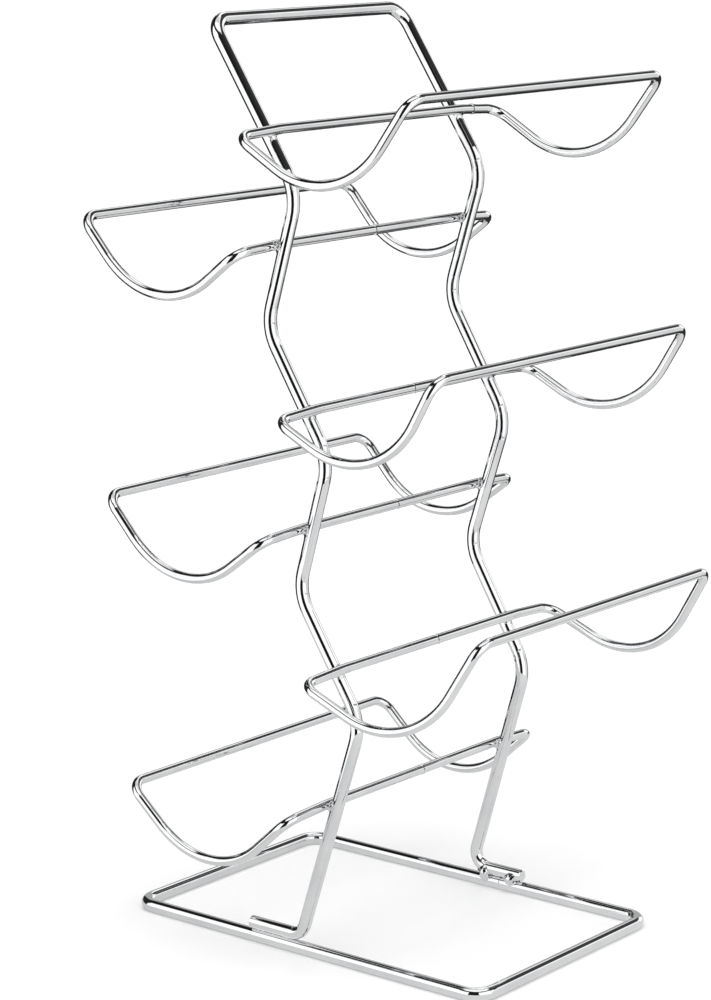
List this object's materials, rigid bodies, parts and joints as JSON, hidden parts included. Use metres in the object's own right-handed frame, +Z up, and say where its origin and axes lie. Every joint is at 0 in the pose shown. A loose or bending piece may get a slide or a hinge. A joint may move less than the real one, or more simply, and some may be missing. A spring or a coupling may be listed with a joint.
{
  "type": "wine rack",
  "caption": "Free-standing countertop wine rack of bent chrome wire: zigzag upright with carrying handle, rectangular base loop and bottle cradles on alternate sides.",
  "frame": {"origin": "on the table plane, under the middle of the rack's bounding box", "axes": "+Z up; Y along the bottles, necks towards -Y, which is the front; +X to the right seen from the front"},
  "size_m": [0.241, 0.2058, 0.4541],
  "materials": {
    "frame_wire": "polished",
    "cradle_wire": "polished",
    "weld_metal": "plated weld, slightly satin"
  },
  "bodies": {
    "root": {"base_frame": "frame_wire", "upright": "frame_wire", "cradle_1": "cradle_wire", "weld_1_front": "weld_metal", "weld_1_rear": "weld_metal", "cradle_2": "cradle_wire", "weld_2_front": "weld_metal", "weld_2_rear": "weld_metal", "cradle_3": "cradle_wire", "weld_3_front": "weld_metal", "weld_3_rear": "weld_metal", "cradle_4": "cradle_wire", "weld_4_front": "weld_metal", "weld_4_rear": "weld_metal", "cradle_5": "cradle_wire", "weld_5_front": "weld_metal", "weld_5_rear": "weld_metal", "cradle_6": "cradle_wire", "weld_6_front": "weld_metal", "weld_6_rear": "weld_metal", "foot_weld_front_heel": "weld_metal", "foot_weld_front_toe": "weld_metal", "foot_weld_rear_heel": "weld_metal", "foot_weld_rear_toe": "weld_metal"}
  },
  "joints": []
}
